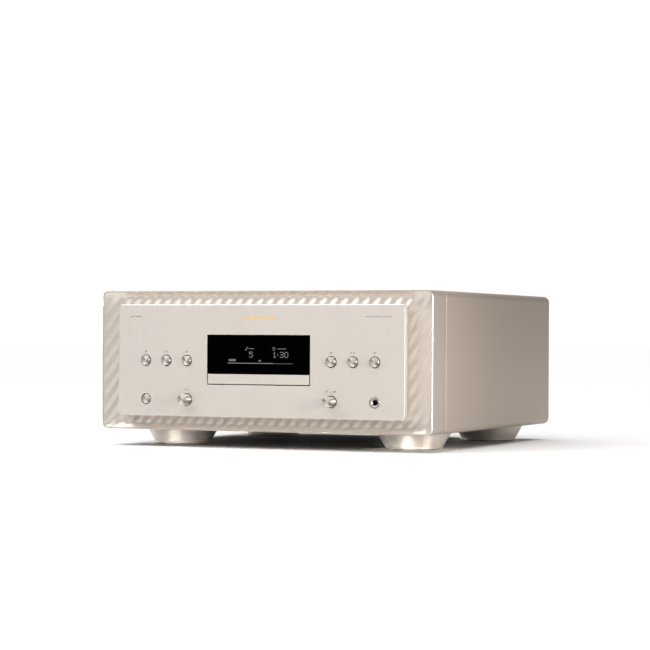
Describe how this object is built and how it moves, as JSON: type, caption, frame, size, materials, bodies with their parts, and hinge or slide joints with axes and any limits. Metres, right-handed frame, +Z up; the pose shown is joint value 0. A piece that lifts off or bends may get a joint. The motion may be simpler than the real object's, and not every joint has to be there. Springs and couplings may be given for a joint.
{
  "type": "disc player",
  "caption": "Free-standing disc player with a floating front plate over a wave-milled surround, a motor-driven tray, push buttons, turned knobs and rear sockets.",
  "frame": {"origin": "centre of the bounding box's underside, on the surface that the feet stand on", "axes": "+Z up, -Y towards the front plate and its controls, +X to the right as seen from the front"},
  "size_m": [0.44, 0.473, 0.192],
  "materials": {
    "champagne_aluminium": "fine blasted and anodised",
    "wave_aluminium": "milled waves, anodised",
    "casing_aluminium": "satin anodised",
    "foot_aluminium": "turned and anodised",
    "control_aluminium": "spun",
    "amber_guide": "clear amber",
    "gold_steel": "gold passivated",
    "rear_paint": "fine texture",
    "dark_steel": "satin",
    "copper_plate": "copper plated",
    "black_rubber": "matte",
    "bare_steel": "bare",
    "black_glass": "black tinted",
    "display_parts": "glass module on its board",
    "grey_plastic": "moulded",
    "nickel": "satin nickel",
    "board_green": "solder resist",
    "black_plastic": "moulded",
    "tray_plastic": "moulded, fine texture",
    "cast_metal": "die cast",
    "white_plastic": "acetal",
    "brass": "turned",
    "capacitor_sleeve": "printed sleeve, left plain",
    "gold_plate": "gold plated",
    "wire_cover": "insulation"
  },
  "bodies": {
    "player": {"front_frame": "champagne_aluminium", "wave_panel": "wave_aluminium", "fascia": "champagne_aluminium", "fascia_posts": "bare_steel", "light_guide": "amber_guide", "front_subpanel": "gold_steel", "side_panel_left": "casing_aluminium", "side_panel_right": "casing_aluminium", "top_cover": "casing_aluminium", "rear_panel": "rear_paint", "bottom_plate": "dark_steel", "chassis_tub": "copper_plate", "feet": "foot_aluminium", "foot_pads": "black_rubber", "case_screws": "bare_steel", "display_window": "black_glass", "display_module": "display_parts", "input_encoder": "grey_plastic", "phones_potentiometer": "bare_steel", "phones_jack": "nickel", "control_boards": "board_green", "tact_switches": "black_plastic", "mech_frame": "cast_metal", "mech_cover": "bare_steel", "mech_stand": "cast_metal", "mech_isolators": "black_rubber", "loading_belt": "black_rubber", "loading_motor": "bare_steel", "power_transformer": "copper_plate", "power_board": "board_green", "capacitor_bank": "capacitor_sleeve", "dac_board": "board_green", "shield_cans": "copper_plate", "mains_inlet": "black_plastic", "rca_jacks": "gold_plate", "xlr_sockets": "nickel", "digital_ports": "grey_plastic", "wiring_harness": "wire_cover"},
    "tray": {"tray_front": "champagne_aluminium", "disc_tray": "tray_plastic"},
    "loading_gear": {"loading_gear": "white_plastic"},
    "pulley_gear": {"pulley_gear": "white_plastic"},
    "motor_pulley": {"motor_pulley": "brass"},
    "traverse": {"traverse_plate": "bare_steel", "guide_rods": "bare_steel", "feed_motor": "bare_steel", "spindle_motor": "bare_steel"},
    "pickup": {"optical_pickup": "cast_metal"},
    "feed_screw": {"feed_screw": "bare_steel"},
    "spindle": {"turntable": "black_plastic"},
    "clamp": {"disc_clamp": "white_plastic"},
    "input_knob": {"input_knob": "control_aluminium"},
    "phones_knob": {"phones_knob": "control_aluminium"},
    "button_dimmer": {"button_dimmer": "control_aluminium"},
    "button_stop": {"button_stop": "control_aluminium"},
    "button_open": {"button_open": "control_aluminium"},
    "button_previous": {"button_previous": "control_aluminium"},
    "button_play": {"button_play": "control_aluminium"},
    "button_next": {"button_next": "control_aluminium"},
    "button_power": {"button_power": "control_aluminium"}
  },
  "joints": [
    {"name": "tray_slide", "type": "slide", "parent": "player", "child": "tray", "axis": [0, -1, 0], "range_m": [0, 0.14]},
    {"name": "loading_gear_spin", "type": "hinge", "parent": "player", "child": "loading_gear", "pos_m": [-0.04, -0.195, 0.078], "axis": [0, 0, 1], "range_deg": [0, 764]},
    {"name": "pulley_gear_spin", "type": "hinge", "parent": "player", "child": "pulley_gear", "pos_m": [-0.017, -0.195, 0.075], "axis": [0, 0, 1], "range_deg": [-1747, 0]},
    {"name": "motor_pulley_spin", "type": "hinge", "parent": "player", "child": "motor_pulley", "pos_m": [0.022, -0.195, 0.072], "axis": [0, 0, 1], "range_deg": [-5987, 0]},
    {"name": "traverse_tilt", "type": "hinge", "parent": "player", "child": "traverse", "pos_m": [0, -0.025, 0.063], "axis": [1, 0, 0], "range_deg": [0, 3]},
    {"name": "spindle_spin", "type": "hinge", "parent": "traverse", "child": "spindle", "pos_m": [0, -0.148, 0.08], "axis": [0, 0, 1], "continuous": true},
    {"name": "pickup_slide", "type": "slide", "parent": "traverse", "child": "pickup", "axis": [0, 1, 0], "range_m": [0, 0.034]},
    {"name": "feed_screw_spin", "type": "hinge", "parent": "traverse", "child": "feed_screw", "pos_m": [0.03, -0.09, 0.071], "axis": [0, 1, 0], "range_deg": [-6121, 0]},
    {"name": "clamp_spin", "type": "hinge", "parent": "player", "child": "clamp", "pos_m": [0, -0.148, 0.098], "axis": [0, 0, 1], "continuous": true},
    {"name": "input_knob_spin", "type": "hinge", "parent": "player", "child": "input_knob", "pos_m": [-0.096, -0.22, 0.059], "axis": [0, 1, 0], "continuous": true},
    {"name": "phones_knob_spin", "type": "hinge", "parent": "player", "child": "phones_knob", "pos_m": [0.096, -0.22, 0.059], "axis": [0, 1, 0], "range_deg": [-150, 150]},
    {"name": "button_dimmer_press", "type": "slide", "parent": "player", "child": "button_dimmer", "axis": [0, 1, 0], "range_m": [0, 0.0015], "stiffness_N_per_m": 600, "springref_m": -0.0005},
    {"name": "button_stop_press", "type": "slide", "parent": "player", "child": "button_stop", "axis": [0, 1, 0], "range_m": [0, 0.0015], "stiffness_N_per_m": 600, "springref_m": -0.0005},
    {"name": "button_open_press", "type": "slide", "parent": "player", "child": "button_open", "axis": [0, 1, 0], "range_m": [0, 0.0015], "stiffness_N_per_m": 600, "springref_m": -0.0005},
    {"name": "button_previous_press", "type": "slide", "parent": "player", "child": "button_previous", "axis": [0, 1, 0], "range_m": [0, 0.0015], "stiffness_N_per_m": 600, "springref_m": -0.0005},
    {"name": "button_play_press", "type": "slide", "parent": "player", "child": "button_play", "axis": [0, 1, 0], "range_m": [0, 0.0015], "stiffness_N_per_m": 600, "springref_m": -0.0005},
    {"name": "button_next_press", "type": "slide", "parent": "player", "child": "button_next", "axis": [0, 1, 0], "range_m": [0, 0.0015], "stiffness_N_per_m": 600, "springref_m": -0.0005},
    {"name": "button_power_press", "type": "slide", "parent": "player", "child": "button_power", "axis": [0, 1, 0], "range_m": [0, 0.0015], "stiffness_N_per_m": 600, "springref_m": -0.0005}
  ],
  "couplings": [
    {"joint": "loading_gear_spin", "follows": "tray_slide", "rad_per_m": 95.238},
    {"joint": "pulley_gear_spin", "follows": "tray_slide", "rad_per_m": -217.69},
    {"joint": "motor_pulley_spin", "follows": "tray_slide", "rad_per_m": -746.36},
    {"joint": "feed_screw_spin", "follows": "pickup_slide", "rad_per_m": -3141.6}
  ]
}
